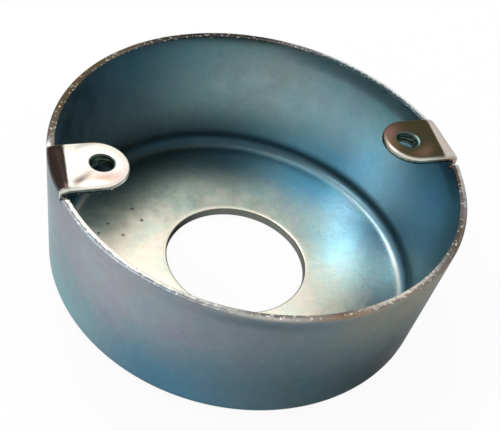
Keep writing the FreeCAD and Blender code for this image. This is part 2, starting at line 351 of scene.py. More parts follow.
@dataclass(frozen=True)
class PlateFinishAndPaintedLight:
    """The colour, most of it painted light, and the polish of one face.

    A ground colour lies under washes that are laid one on another. A pale wash with a low roughness is a
    painted highlight and painted reflection of bright light, a blue one is the passivate's film together
    with painted reflection of the blue wall, and a dark brown, green or slate one is painted shade and
    painted reflection of a dark part of the room.
    """

    ground: str
    roughness: float
    washes: tuple[Wash, ...] = ()

    def colours(self, angle: np.ndarray, level: np.ndarray) -> np.ndarray:
        """The plate's colour at each point.

        Args:
            angle: angles round the axis, in degrees.
            level: heights, or radii on the floor, in millimetres.

        Returns:
            Linear red, green and blue, along a new last axis.
        """
        colour = np.broadcast_to(linear(self.ground), angle.shape + (3,)).copy()
        for wash in self.washes:
            cover = wash.cover(angle, level)[..., None]
            colour = colour * (1 - cover) + linear(wash.colour) * cover
        return colour


# Most grounds and washes below are painted light rather than the plate's own tint: pale creams and whites
# are painted reflections and highlights, dark slates, browns and olives are painted shade and painted
# reflections of dark surroundings, and the blues are partly the passivate's tint and partly painted
# reflection.
FINISHES_AND_PAINTED_LIGHT: dict[Face, PlateFinishAndPaintedLight] = {
    # Outside: painted reflections round the wall, lilac grey on the left, teal and blue at the front over
    # the film's own blue, a painted dark band low on the right front, a painted shade band just under the
    # rim at the front, and warm grey painted reflection high on the right.
    Face.OUTSIDE: PlateFinishAndPaintedLight(
        "#60717a",
        0.36,
        (
            Wash("#b1b6bd", -158, 38, 20, 17, 0.97),
            Wash("#cbd6d8", -188, 16, 12, 14, 0.7),
            Wash("#9fc4ca", -172, 30, 4, 8, 0.85),
            Wash("#50829c", -128, 24, 4, 9, 0.88),
            Wash("#465a68", -106, 16, 23.7, 0.9, 0.6),
            Wash("#50676e", -92, 24, 8, 9, 0.9),
            Wash("#323836", -56, 30, 2, 11, 0.95),
            Wash("#9a9789", -62, 30, 26, 10, 0.9),
            Wash("#9a9384", -40, 10, 22, 6, 0.4),
            Wash("#9ea2a9", 60, 40, 18, 14, 0.7),
            Wash("#84a6aa", 110, 30, 6, 9, 0.6),
        ),
    ),
    Face.UNDERSIDE: PlateFinishAndPaintedLight("#8d9799", 0.38),
    # The floor opening's bore: a near-black painted shade on its back-left side and a paler painted
    # reflection on its back-right side.
    Face.OPENING: PlateFinishAndPaintedLight(
        "#71756f",
        0.42,
        (Wash("#191613", 150, 42, 12, 3, 0.95), Wash("#878a82", 15, 30, 12, 3, 0.8)),
    ),
    # Floor: a cream ground that is a painted reflection of bright light, a dark painted shade and painted
    # reflection of the dark wall round the back, painted blue reflections of the wall on the right, and pale
    # painted reflection at the front.
    Face.FLOOR: PlateFinishAndPaintedLight(
        "#fdf5e1",
        0.27,
        (
            Wash("#7d6c54", 142, 26, 21.5, 3.5, 0.4),
            Wash("#1c2829", 110, 58, 29, 8.8, 0.97, 3),
            Wash("#3c5660", 74, 20, 27, 8, 0.8),
            Wash("#8fd0ea", 40, 23, 26, 7, 0.9),
            Wash("#557f92", 4, 18, 27, 6, 0.95),
            Wash("#d6d5c9", -26, 26, 26, 6, 0.9),
            Wash("#9cb4ba", 4, 15, 19, 4.5, 0.6),
            Wash("#e6e0d0", -35, 30, 16, 6, 0.8),
        ),
    ),
    # Inside: blues that are partly the film's tint and partly painted reflection, a dark painted shade low
    # in the corner at the back, a dark painted reflection along the inside corner, and painted shade and a
    # painted reflected band just under the rim.
    Face.INSIDE: PlateFinishAndPaintedLight(
        "#84a5ae",
        0.34,
        (
            Wash("#a2d2e8", 36, 23, 15, 10, 0.95),
            Wash("#9eb1b4", 62, 24, 20, 9, 0.9),
            Wash("#86b4cf", -4, 24, 12, 14, 0.88),
            Wash("#7b97a2", 128, 46, 12, 20, 0.9),
            Wash("#1b2629", 114, 58, 1.4, 2.5, 0.98, 3),
            Wash("#24404d", 42, 66, 2.9, 1.25, 0.85, 4),
            Wash("#587681", 20, 42, 25.5, 3.6, 0.85, 8),
            Wash("#272f2f", 78, 28, 25.2, 1.5, 0.92),
        ),
    ),
    # Left lug: its near-white ground is a painted highlight and painted reflection of bright light, with
    # browner painted reflections and a dark patch of painted shade.
    Face.LEFT_LUG: PlateFinishAndPaintedLight(
        "#fffaee",
        0.28,
        (
            Wash("#c8a48c", -95, 45, 3.4, 1.1, 0.75),
            Wash("#4d3428", -140, 9, 5.4, 2.4, 0.85),
            Wash("#b09a88", 90, 60, 4.6, 0.5, 0.5),
        ),
    ),
    # Right lug: its dark olive ground is a painted reflection of dark surroundings, with rose and brown
    # washes that are partly the film's tint and partly painted reflection.
    Face.RIGHT_LUG: PlateFinishAndPaintedLight(
        "#474231",
        0.32,
        (
            Wash("#8f6b66", 150, 50, 3.3, 1.4, 0.85),
            Wash("#80604c", -62, 34, 3.6, 1.0, 0.75),
            Wash("#585c2c", 190, 30, 2.2, 0.7, 0.7),
        ),
    ),
    # Thread: a dark painted shade in the bore, with a pale teal painted glint on one side.
    Face.THREAD: PlateFinishAndPaintedLight("#4d5a55", 0.34, (Wash("#bfe6df", -25, 28, 1.8, 1.0, 0.8),)),
    # The bends: one surface, dark on the left lug and pale on the right, as painted reflections.
    Face.LEFT_BEND: PlateFinishAndPaintedLight("#3a2f2a", 0.34),
    Face.RIGHT_BEND: PlateFinishAndPaintedLight("#cbc3b9", 0.34),
    # The rim's land: painted highlights in the pale washes, painted shade in the dark ones, and the pale
    # spot at 170.5 a painted highlight on the far corner of the left lug's notch.
    Face.RIM_LAND: PlateFinishAndPaintedLight(
        "#85898a",
        0.34,
        (
            Wash("#73787d", -140, 34, 0, 9),
            Wash("#b3b0aa", -104, 14, 0, 9, 0.8),
            Wash("#8f6d52", -88, 10, 0, 9, 0.9),
            Wash("#8b7f76", -70, 14, 0, 9, 0.8),
            Wash("#6b5a50", -42, 18, 0, 9, 0.9),
            Wash("#b9bab6", -10, 16, 0, 9, 0.9),
            Wash("#dfe6e7", 30, 26, 0, 9, 0.95, 4),
            Wash("#2e2c2a", 88, 34, 0, 9, 0.95, 4),
            Wash("#5a4a30", 140, 34, 0, 9, 0.95, 4),
            Wash("#ece6ef", 170.5, 2.5, 0, 9),
        ),
    ),
    # The rim's inner lip: a bright painted highlight at the front left, and painted shade in the dark washes
    # round the rest.
    Face.RIM_LIP: PlateFinishAndPaintedLight(
        "#aeaeaa",
        0.30,
        (
            Wash("#f6f2e6", -156, 24, 0, 9, 0.95),
            Wash("#55504c", -106, 11, 0, 9, 0.85),
            Wash("#5f4637", -88, 9, 0, 9, 0.85),
            Wash("#d8cfc0", -70, 10, 0, 9, 0.8),
            Wash("#3c3631", -40, 18, 0, 9, 0.9),
            Wash("#43342d", -8, 20, 0, 9, 0.95, 4),
            Wash("#27424a", 34, 28, 0, 9, 0.95, 4),
            Wash("#302c2b", 90, 34, 0, 9, 0.95, 4),
            Wash("#43382a", 144, 32, 0, 9, 0.95, 4),
        ),
    ),
    # The lugs' rolled edges: the pale colours are painted highlights along the rolls, and the browner washes
    # are painted reflection.
    Face.LEFT_ROLL: PlateFinishAndPaintedLight("#fbf5e8", 0.26, (Wash("#86705c", 95, 45, 4.9, 2.0, 0.8),)),
    Face.RIGHT_ROLL: PlateFinishAndPaintedLight(
        "#8f7f6a",
        0.26,
        (Wash("#fbf4e6", -120, 70, 4.9, 2.0, 1.0, 4), Wash("#8a6a60", 100, 60, 4.9, 2.0, 0.8)),
    ),
    # The lugs' cut side: dark painted shade.
    Face.LUG_CUT: PlateFinishAndPaintedLight("#3b4a4f", 0.36),
}


class StampingMesh:
    """Collects grids of points and joins them into one closed mesh."""

    def __init__(self) -> None:
        """Starts with no points and no faces."""
        self.points: list[np.ndarray] = []
        self.faces: list[np.ndarray] = []
        self.colours: list[np.ndarray] = []
        self.roughness: list[np.ndarray] = []
        self.sheared: list[np.ndarray] = []
        self.lips: list[np.ndarray] = []
        self.count = 0

    def add_grid(
        self,
        points: np.ndarray,
        colours: np.ndarray,
        roughness: float | np.ndarray,
        sheared: float | np.ndarray = 0.0,
        lips: np.ndarray | None = None,
        closed: bool = False,
    ) -> None:
        """Adds a grid of quads.

        Args:
            points: rows by columns by three, in millimetres.
            colours: the plate's linear colour at each point, painted reflections, highlights and shade
                included.
            roughness: one value, or one for each point.
            sheared: how far each point lies across the sheared edge, from 0 to 1.
            lips: the colour that the edge's inner part has at each point, mostly painted highlight and
                shade.
            closed: whether the last column joins the first.
        """
        rows, columns = points.shape[:2]
        index = np.arange(rows * columns).reshape(rows, columns) + self.count
        if closed:
            index = np.concatenate([index, index[:, :1]], axis=1)
        quads = np.stack([index[:-1, :-1], index[:-1, 1:], index[1:, 1:], index[1:, :-1]], axis=-1)
        self.points.append(points.reshape(-1, 3))
        self.faces.append(quads.reshape(-1, 4))
        self.colours.append(colours.reshape(-1, 3))
        self.lips.append((colours if lips is None else lips).reshape(-1, 3))
        self.roughness.append(np.broadcast_to(roughness, (rows, columns)).reshape(-1))
        self.sheared.append(np.broadcast_to(sheared, (rows, columns)).reshape(-1))
        self.count += rows * columns

    def build(self, name: str) -> bpy.types.Object:
        """Makes the object: the grids are welded where they meet and their faces turned outwards.

        Args:
            name: the piece's name.

        Returns:
            The new object, linked to the scene.
        """
        mesh = bpy.data.meshes.new(name)
        mesh.from_pydata(np.concatenate(self.points) * MM, [], np.concatenate(self.faces).tolist())
        self._add_field(mesh, "plate_roughness", np.concatenate(self.roughness))
        self._add_field(mesh, "sheared", np.concatenate(self.sheared))
        self._add_colour(mesh, "plate_colour", np.concatenate(self.colours))
        self._add_colour(mesh, "lip_colour", np.concatenate(self.lips))
        piece = bpy.data.objects.new(name, mesh)
        bpy.context.scene.collection.objects.link(piece)
        self._weld(mesh)
        mesh.shade_smooth()
        mesh.set_sharp_from_angle(angle=math.radians(SHARP_DEG))
        return piece

    @staticmethod
    def _add_field(mesh: bpy.types.Mesh, name: str, values: np.ndarray) -> None:
        """Stores one number for each vertex under a name that the material reads."""
        attribute = mesh.attributes.new(name, "FLOAT", "POINT")
        attribute.data.foreach_set("value", values.astype(np.float32))

    @staticmethod
    def _add_colour(mesh: bpy.types.Mesh, name: str, values: np.ndarray) -> None:
        """Stores a linear colour for each vertex under a name that the material reads."""
        attribute = mesh.attributes.new(name, "FLOAT_COLOR", "POINT")
        opaque = np.ones((len(values), 4), np.float32)
        opaque[:, :3] = values
        attribute.data.foreach_set("color", opaque.ravel())

    @staticmethod
    def _weld(mesh: bpy.types.Mesh) -> None:
        """Joins points that lie in one place, and turns all faces outwards.

        Args:
            mesh: the mesh, which is changed in place.
        """
        work = bmesh.new()
        work.from_mesh(mesh)
        bmesh.ops.remove_doubles(work, verts=work.verts, dist=WELD_MM * MM)
        bmesh.ops.dissolve_degenerate(work, edges=work.edges, dist=SPECK_MM * MM)
        bmesh.ops.recalc_face_normals(work, faces=work.faces)
        open_edges = sum(1 for edge in work.edges if not edge.is_manifold)
        LOG.info("%s: %d faces, %d open edges", mesh.name, len(work.faces), open_edges)
        work.to_mesh(mesh)
        work.free()


@dataclass
class LugFold:
    """The fold that turns a lug out of the wall, and the edge path round the lug.

    Across the lug runs y, and up the fold runs t: from 0, on the wall below the rim,
    over the place where the bend leaves the wall, to 1, where the flat starts.
    """

    sizes: CupSizes
    columns: int = 45
    wall_rows: int = 5
    bend_rows: int = 11
    flat_points: int = 12
    tip_points: int = 49
    droop: float = 0.12
    droop_reach: float = 1.5
    roll_growth: float = 1.6
    first_turn: float = 0.5
    meet_steps: int = 12

    def rows(self) -> np.ndarray:
        """Row positions up the fold: 0 to 1 on the wall, then 1 to 2 over the bend."""
        on_bend = np.linspace(1, 2, self.bend_rows)[1:]
        return np.concatenate([np.linspace(0, 1, self.wall_rows), on_bend])

    def roll_at(self, row: np.ndarray) -> np.ndarray:
        """The edge's roll grows from the notch's small one to the lug's wide one."""
        s = self.sizes
        return s.notch_roll + (s.lug_roll - s.notch_roll) * ease(row / self.roll_growth)

    def surface(self, y: np.ndarray, row: np.ndarray, outer: bool) -> tuple[np.ndarray, np.ndarray]:
        """A face of the fold.

        The bend is a quarter round about a straight line at right angles to the lug, and
        the wall is a cone, so they meet at the turn whose cosine is the wall's distance
        from that line over the bend's radius. That turn changes across the lug, and
        makes the bend run out in a crescent.

        Args:
            y: places across the lug, in millimetres.
            row: places up the fold, from 0 to 2.
            outer: whether this is the outer face, or the inner one.

        Returns:
            Points and their outward normals.
        """
        s = self.sizes
        y, row = np.broadcast_arrays(y, row)
        radius = s.bend_radius + (s.wall if outer else 0)
        wall_radius = s.outer_radius if outer else s.inner_radius
        turn = np.full(y.shape, self.first_turn)
        for _ in range(self.meet_steps):
            height = s.bend_height + radius * np.sin(turn)
            wall_x = np.sqrt(wall_radius(height) ** 2 - y**2)
            turn = np.arccos(np.clip((wall_x - s.fold_x) / radius, -1, 1))
        meet = s.bend_height + radius * np.sin(turn)
        on_wall = row <= 1
        low = s.rim_height - s.notch_depth + s.notch_width / 2
        height = low + (meet - low) * np.clip(row, 0, 1)
        wall = np.stack([np.sqrt(wall_radius(height) ** 2 - y**2), y, height], axis=-1)
        angle = turn + (math.pi / 2 - turn) * np.clip(row - 1, 0, 1)
        bend_x = s.fold_x + radius * np.cos(angle)
        bend = np.stack([bend_x, y, s.bend_height + radius * np.sin(angle)], axis=-1)
        points = np.where(on_wall[..., None], wall, bend)
        wall_normal = np.stack([wall[..., 0], y, np.zeros_like(y)], axis=-1)
        wall_normal /= np.linalg.norm(wall_normal, axis=-1, keepdims=True)
        bend_normal = np.stack([np.cos(angle), np.zeros_like(y), np.sin(angle)], axis=-1)
        normals = np.where(on_wall[..., None], wall_normal, bend_normal)
        if outer:
            inset = s.lug_half_width - np.abs(y)
            sink = self.droop * (1 - ease(inset / self.droop_reach)) * ease(row / 2)
            return points - sink[..., None] * normals, normals
        return points, -normals

    def face(self, outer: bool) -> np.ndarray:
        """The fold's outer or inner face as a grid of rows up the fold by columns across it."""
        s, rows = self.sizes, self.rows()
        edge = self.roll_at(rows) if outer else np.full(rows.shape, s.burr)
        across = np.linspace(1, -1, self.columns)[None, :]
        return self.surface(across * (s.lug_half_width - edge[:, None]), rows[:, None], outer)[0]

    def flat_sink(self, x: np.ndarray, y: np.ndarray) -> np.ndarray:
        """How far the tongue's upper face droops near its free edge."""
        s = self.sizes
        beyond = np.minimum(x - s.tip_x, 0)
        inset = s.lug_half_width - np.hypot(beyond, y)
        return self.droop * (1 - ease(inset / self.droop_reach))

    def half_edge(self) -> SheetEdge:
        """The edge from the notch up one flank of the fold and along the tongue to its tip."""
        s, rows = self.sizes, self.rows()
        roll = self.roll_at(rows)
        burr = np.full(rows.shape, s.burr)
        outer, outer_normal = self.surface(s.lug_half_width - roll, rows, True)
        inner, inner_normal = self.surface(s.lug_half_width - burr, rows, False)
        sideways = np.broadcast_to(np.array([0.0, 1.0, 0.0]), outer.shape)
        flank = SheetEdge(outer, outer_normal, inner, inner_normal, sideways, roll, burr)
        return SheetEdge.join([flank, self._tongue_edge()])

    def _tongue_edge(self) -> SheetEdge:
        """The edge of the flat: a straight run beside it, then a quarter of its end."""
        s = self.sizes
        straight = np.linspace(s.fold_x, s.tip_x, self.flat_points)[1:-1]
        turn = np.linspace(math.pi / 2, math.pi, (self.tip_points + 1) // 2)
        centre_x = np.concatenate([straight, np.full(turn.shape, s.tip_x)])
        turn = np.concatenate([np.full(straight.shape, math.pi / 2), turn])
        outward = np.stack([np.cos(turn), np.sin(turn), np.zeros_like(turn)], axis=-1)
        outward[:, 0] = np.where(np.abs(outward[:, 0]) < ROUNDING, 0, outward[:, 0])
        roll = np.full(turn.shape, s.lug_roll)
        burr = np.full(turn.shape, s.burr)
        centre = np.stack([centre_x, np.zeros_like(turn), np.zeros_like(turn)], axis=-1)
        outer = centre + (s.lug_half_width - roll)[:, None] * outward
        outer[:, 2] = s.lug_top - self.flat_sink(outer[:, 0], outer[:, 1])
        inner = centre + (s.lug_half_width - burr)[:, None] * outward
        inner[:, 2] = s.lug_top - s.wall
        up = np.broadcast_to(np.array([0.0, 0.0, 1.0]), outer.shape)
        return SheetEdge(outer, up, inner, -up, outward, roll, burr)


@dataclass
class TappedTongue:
    """The flat of a lug with its plunged and tapped hole, as rings round the screw's axis."""

    sizes: CupSizes
    fold: LugFold
    face_rings: int = 28
    thread_pitch: float = 0.7
    thread_depth: float = 0.2
    rings_per_pitch: int = 9
    ring_crowding: float = 1.2
    lead_rings: int = 4
    thread_end: float = 0.12
    fade_in: float = 0.3
    fade_out: float = 0.2
    least_thread: float = 0.15
    bore_break: float = 0.2
    mouth_round: float = 0.14
    root_round: float = 0.28

    def border(self, outer: bool, edge: SheetEdge, face: np.ndarray) -> np.ndarray:
        """The closed border of the flat: round the free edge, then back along the fold.

        Args:
            outer: whether this is the upper face, or the lower one.
            edge: the edge's path from the notch to the lug's tip.
            face: the fold's grid of points on that face.

        Returns:
            The border's points, once round.
        """
        free = (edge.outer if outer else edge.inner)[self.fold.wall_rows + self.fold.bend_rows - 2 :]
        other = free[::-1][1:] * np.array([1, -1, 1])
        back = face[-1][::-1][1:-1]
        return np.concatenate([free, other, back])

    def rings(self, upper: np.ndarray, lower: np.ndarray) -> np.ndarray:
        """All rings from the upper border, through the hole, to the lower border.

        Each ring has a point for each border point, at the same angle round the screw's
        axis. On the faces a ring lies a share of the way from the hole's mouth to the
        border. In the hole a ring's radius follows the lead-in, the thread, which is a
        wave of the height plus the share of a turn, and the collar.

        Args:
            upper: the upper face's border.
            lower: the lower face's border.

        Returns:
            A grid of rings by points.
        """
        s = self.sizes
        share = np.linspace(1, 0, self.face_rings) ** self.ring_crowding
        mouth = s.screw_radius + s.lead_in
        top = [self._between(upper, mouth, s.lug_top, part, True) for part in share]
        bore = [self._ring(upper, radius, height) for radius, height in self._bore_profile(upper)]
        root = s.collar_radius + self.root_round
        under = [self._between(lower, root, s.lug_top - s.wall, part, False) for part in share[::-1]]
        return np.stack(top + bore + under)

    def _angle(self, border: np.ndarray) -> np.ndarray:
        """Each border point's angle round the screw's axis."""
        return np.arctan2(border[:, 1], border[:, 0] - self.sizes.lug_centre)

    def _ring(self, border: np.ndarray, radius: float | np.ndarray, height: float) -> np.ndarray:
        """A ring round the screw's axis, with a point at each border point's angle."""
        angle = self._angle(border)
        x = self.sizes.lug_centre + radius * np.cos(angle)
        return np.stack([x, radius * np.sin(angle), np.full(angle.shape, height)], axis=-1)

    def _between(
        self, border: np.ndarray, radius: float, height: float, share: float, upper: bool
    ) -> np.ndarray:
        """A ring that lies a share of the way from the hole to the border.

        Args:
            border: the face's border.
            radius: the hole's radius on that face.
            height: the face's height.
            share: 0 at the hole and 1 at the border.
            upper: whether this is the upper face, which droops near its free edge.

        Returns:
            The ring's points.
        """
        ring = self._ring(border, radius, height)
        points = ring + (border - ring) * share
        if upper and share < 1:
            points[:, 2] = height - self.fold.flat_sink(points[:, 0], points[:, 1])
        return points

    def _bore_profile(self, border: np.ndarray) -> list[tuple[float | np.ndarray, float]]:
        """Radius and height of each ring from the lead-in down to the collar's root.

        Args:
            border: the upper face's border, whose angles give the thread its turn.

        Returns:
            A height for each ring, and a radius or one for each point.
        """
        s = self.sizes
        bottom = s.lug_top - s.wall - s.collar_depth
        lead = []
        for turn in np.linspace(0, math.pi / 2, self.lead_rings)[1:]:
            lead_radius = s.screw_radius + s.lead_in * (1 - math.sin(turn))
            lead.append((lead_radius, s.lug_top - s.lead_in * (1 - math.cos(turn))))
        start, end = s.lug_top - s.lead_in, bottom + self.thread_end
        steps = round((start - end) / self.thread_pitch * self.rings_per_pitch)
        turns = self._angle(border) / (2 * math.pi)
        thread = []
        for height in np.linspace(start, end, steps)[1:]:
            wave = np.abs(((height / self.thread_pitch + turns) % 1) * 2 - 1)
            run_out = (height - end) / self.fade_out + self.least_thread
            fade = min(1.0, (start - height) / self.fade_in, run_out)
            thread.append((s.screw_radius + self.thread_depth * fade * wave, float(height)))
        return lead + thread + self._collar_profile(bottom)

    def _collar_profile(self, bottom: float) -> list[tuple[float, float]]:
        """Radius and height of each ring round the collar, from its bore's mouth to its root.

        Args:
            bottom: the height of the collar's mouth.

        Returns:
            A radius and a height for each ring.
        """
        s = self.sizes
        wide, root = s.collar_radius, bottom + s.collar_depth
        mouth_middle = self.mouth_round * QUARTER_MIDDLE
        root_middle = self.root_round * QUARTER_MIDDLE
        return [
            (s.screw_radius + 0.3 * self.bore_break, bottom + 0.15 * self.bore_break),
            (s.screw_radius + self.bore_break, bottom),
            (wide - self.mouth_round, bottom),
            (wide - mouth_middle, bottom + mouth_middle),
            (wide, bottom + self.mouth_round),
            (wide, root - self.root_round),
            (wide + root_middle, root - root_middle),
        ]


@dataclass
class CupShell:
    """The drawn cup under the lugs: outer face, floor and inner face in one turned profile."""

    sizes: CupSizes
    fold: LugFold
    rim_points: int = 96
    near_lug: float = 7.0
    wall_rows: int = 27
    corner_rows: int = 12
    underside_rows: int = 7
    floor_rows: int = 24
    wobble: float = 0.035
    near_points: int = 7
    fan_points: int = 5
    flank_points: int = 4
    bottom_points: int = 11
    roll_growth_deg: float = 5.0
    wall_crowding: float = 1.25
    settled_share: float = 0.35
    opening_rows: int = 5
    break_rows: int = 6
    waves: tuple[tuple[int, float], ...] = ((6, 0.5), (14, 0.6), (33, 0.8), (58, 1.0), (97, 0.9), (141, 0.7))
    calm_start: float = 0.01
    calm_reach: float = 0.1

    def notch_side(self) -> SheetEdge:
        """The edge from a quarter turn away to a lug's flank.

        It runs along the rim, turns down into the notch, and round the notch's bottom.
        """
        s = self.sizes
        flank = s.lug_half_width + s.notch_width
        corner_y = flank + s.notch_roll
        start = math.asin(self.near_lug / s.rim_radius)
        stop = math.asin(corner_y / s.rim_radius)
        far = np.linspace(math.pi / 2, start, self.rim_points)
        angles = np.concatenate([far, np.linspace(start, stop, self.near_points)[1:-1]])
        share = ease((angles - stop) / math.radians(self.roll_growth_deg))
        roll = s.notch_roll + (s.rim_roll - s.notch_roll) * share
        rim = self._rim(angles, roll)
        bottom = s.rim_height - s.notch_depth + s.notch_width / 2
        top = s.rim_height - s.notch_roll
        fan = np.linspace(math.pi / 2, math.pi, self.fan_points)
        down = np.linspace(top, bottom, self.flank_points)[1:]
        runs_y = [np.full(fan.shape, corner_y), np.full(down.shape, corner_y)]
        runs_z = [np.full(fan.shape, top), down]
        across = np.broadcast_to(np.array([-1.0, 0.0]), (len(down), 2))
        looks = [np.stack([np.cos(fan), np.sin(fan)], axis=-1), across]
        round_turn = np.linspace(0, -math.pi, self.bottom_points)[1:]
        reach = s.notch_width / 2 + s.notch_roll
        runs_y.append(s.lug_half_width + s.notch_width / 2 + reach * np.cos(round_turn))
        runs_z.append(bottom + reach * np.sin(round_turn))
        looks.append(-np.stack([np.cos(round_turn), np.sin(round_turn)], axis=-1))
        y, z, look = np.concatenate(runs_y), np.concatenate(runs_z), np.concatenate(looks)
        return SheetEdge.join([rim, self._notch(y, z, look)])

    def _rim(self, angles: np.ndarray, roll: np.ndarray) -> SheetEdge:
        """The rim: the edge looks up, and the faces end a roll or a burr below it.

        Args:
            angles: the points' angles round the cup's axis.
            roll: the rolled edge's radius at each point.

        Returns:
            The run along the rim.
        """
        s = self.sizes
        burr = np.full(angles.shape, s.burr)
        radial = np.stack([np.cos(angles), np.sin(angles), np.zeros_like(angles)], axis=-1)
        up = np.broadcast_to(np.array([0.0, 0.0, 1.0]), radial.shape)
        height = s.rim_height - self.ragged(angles)
        outer_z, inner_z = height - roll, height - burr
        outer = radial * s.outer_radius(outer_z)[:, None] + up * outer_z[:, None]
        inner = radial * s.inner_radius(inner_z)[:, None] + up * inner_z[:, None]
        return SheetEdge(outer, radial, inner, -radial, up, roll, burr)

    def _notch(self, y: np.ndarray, z: np.ndarray, look: np.ndarray) -> SheetEdge:
        """The notch: the edge looks into it, across and upwards.

        Args:
            y: places across the notch.
            z: heights of the same points.
            look: which way the edge looks at each point, across and up.

        Returns:
            The run round the notch.
        """
        s = self.sizes
        shift = s.notch_roll - s.burr
        inner_y, inner_z = y + look[:, 0] * shift, z + look[:, 1] * shift
        outer = np.stack([np.sqrt(s.outer_radius(z) ** 2 - y**2), y, z], axis=-1)
        inner = np.stack([np.sqrt(s.inner_radius(inner_z) ** 2 - inner_y**2), inner_y, inner_z], axis=-1)
        normal = outer * np.array([1, 1, 0])
        normal /= np.linalg.norm(normal, axis=-1, keepdims=True)
        outward = np.concatenate([np.zeros((len(y), 1)), look], axis=-1)
        roll = np.full(y.shape, s.notch_roll)
        return SheetEdge(outer, normal, inner, -normal, outward, roll, np.full(y.shape, s.burr))

    def ragged(self, angles: np.ndarray) -> np.ndarray:
        """How far the trimmed rim dips: a few long waves and many short ones, none near a lug.

        Args:
            angles: angles round the axis, in radians.

        Returns:
            The dip at each angle, in millimetres.
        """
        draw = np.random.default_rng(11)
        dip = np.zeros_like(angles)
        for count, depth in self.waves:
            dip += depth * (1 + np.sin(2 * count * angles + draw.uniform(0, 2 * math.pi)))
        calm_angle = math.asin(self.near_lug / self.sizes.rim_radius)
        away = np.abs(np.abs(angles) - calm_angle) - self.calm_start
        return self.wobble * dip / sum(depth for _, depth in self.waves) * ease(away / self.calm_reach)

    def columns(self, side: SheetEdge, outer: bool) -> np.ndarray:
        """The upper ends of all columns of one face, once round the cup.

        Args:
            side: the edge's path on one side of one lug.
            outer: whether this is the outer face, or the inner one.

        Returns:
            One point for each column.
        """
        run = side.outer if outer else side.inner
        mirror = run[::-1] * np.array([1, -1, 1])
        seam = self.fold.face(outer)[0][1:-1]
        half = np.concatenate([run, seam, mirror[:-1]])
        return np.concatenate([half, half * np.array([-1, -1, 1])])

    def base_angles(self, side: SheetEdge) -> np.ndarray:
        """The columns' angles away from the rim.

        Beside a lug they crowd at the edge, and here they are spread evenly.

        Args:
            side: the edge's path on one side of one lug.

        Returns:
            One angle for each column, in radians.
        """
        near = len(side.outer) - self.rim_points
        start = math.asin(self.near_lug / self.sizes.rim_radius)
        rim = np.linspace(math.pi / 2, start, self.rim_points)
        seam = self.fold.columns - 2
        beside = np.linspace(start, -start, 2 * near + seam + 2)[1:-1]
        half = np.concatenate([rim, beside, -rim[::-1][:-1]])
        return np.concatenate([half, half + math.pi])

    def profile(self, side: SheetEdge) -> tuple[np.ndarray, list[Face]]:
        """The whole shell as one grid, from the outer face's top to the inner face's top.

        Args:
            side: the edge path of one side of one lug.

        Returns:
            A grid of rows down, across and up by columns round the cup, and each row's face.
        """
        s = self.sizes
        angles = self.base_angles(side)
        lean = s.slope
        outer_x = s.outer_radius(s.die_radius) - s.die_radius / math.cos(lean)
        inner_z = s.floor + s.punch_radius
        inner_x = s.inner_radius(inner_z) - s.punch_radius / math.cos(lean)
        outer_foot = s.die_radius * (1 - math.sin(lean))
        inner_foot = inner_z - s.punch_radius * math.sin(lean)
        centre_x, centre_z = s.hole_radius + s.hole_break, s.floor - s.hole_break
        underside = np.linspace(outer_x, s.hole_radius + s.burr, self.underside_rows)[1:]
        opening = np.linspace(s.burr, centre_z, self.opening_rows)
        floor = np.linspace(centre_x, inner_x, self.floor_rows)[1:]
        foot_turns = np.linspace(-lean, -math.pi / 2, self.corner_rows)[1:]
        break_turns = np.linspace(math.pi, math.pi / 2, self.break_rows)[1:]
        corner_turns = np.linspace(-math.pi / 2, -lean, self.corner_rows)[1:]
        parts = [
            (Face.OUTSIDE, self._wall(self.columns(side, True), angles, outer_foot, s.outer_radius)),
            (Face.OUTSIDE, self._arc(angles, (outer_x, s.die_radius), s.die_radius, foot_turns)),
            (Face.UNDERSIDE, [self._turned(angles, radius, 0.0) for radius in underside]),
            (Face.OPENING, [self._turned(angles, s.hole_radius, height) for height in opening]),
            (Face.FLOOR, self._arc(angles, (centre_x, centre_z), s.hole_break, break_turns)),
            (Face.FLOOR, [self._turned(angles, radius, s.floor) for radius in floor]),
            (Face.INSIDE, self._arc(angles, (inner_x, inner_z), s.punch_radius, corner_turns)),
            (Face.INSIDE, self._wall(self.columns(side, False), angles, inner_foot, s.inner_radius)[-2::-1]),
        ]
        rows = [row for _, part in parts for row in part]
        return np.stack(rows), [face for face, part in parts for _ in part]

    def _arc(
        self, angles: np.ndarray, centre: tuple[float, float], radius: float, turns: np.ndarray
    ) -> list[np.ndarray]:
        """Rings along a round of the profile.

        Args:
            angles: the columns' angles.
            centre: the round's centre, as its distance from the axis and its height.
            radius: the round's radius.
            turns: where the rings lie on the round, from level outwards.

        Returns:
            One ring for each turn.
        """
        return [
            self._turned(angles, centre[0] + radius * math.cos(turn), centre[1] + radius * math.sin(turn))
            for turn in turns
        ]

    @staticmethod
    def _turned(angles: np.ndarray, radius: float | np.ndarray, height: float | np.ndarray) -> np.ndarray:
        """A ring of points round the cup's axis, at one radius and height or at one for each."""
        height = np.broadcast_to(height, angles.shape)
        return np.stack([radius * np.cos(angles), radius * np.sin(angles), height], axis=-1)

    def _wall(
        self, tops: np.ndarray, angles: np.ndarray, foot: float, radius: Callable[[np.ndarray], np.ndarray]
    ) -> list[np.ndarray]:
        """Rows down a wall, which stay on its cone.

        Each column starts at its place on the edge and turns to its own angle within the
        first third or so of the height.

        Args:
            tops: the columns' upper ends.
            angles: the columns' own angles.
            foot: the height where the wall ends.
            radius: gives the cone's radius at a height.

        Returns:
            The rows, from the edge down.
        """
        top_angles = np.arctan2(tops[:, 1], tops[:, 0])
        shift = (angles - top_angles + math.pi) % (2 * math.pi) - math.pi
        rows = []
        for share in np.linspace(0, 1, self.wall_rows) ** self.wall_crowding:
            height = tops[:, 2] + (foot - tops[:, 2]) * share
            turned = top_angles + shift * ease(np.array(share / self.settled_share))
            rows.append(self._turned(turned, radius(height), height))
        rows[0] = tops
        return rows


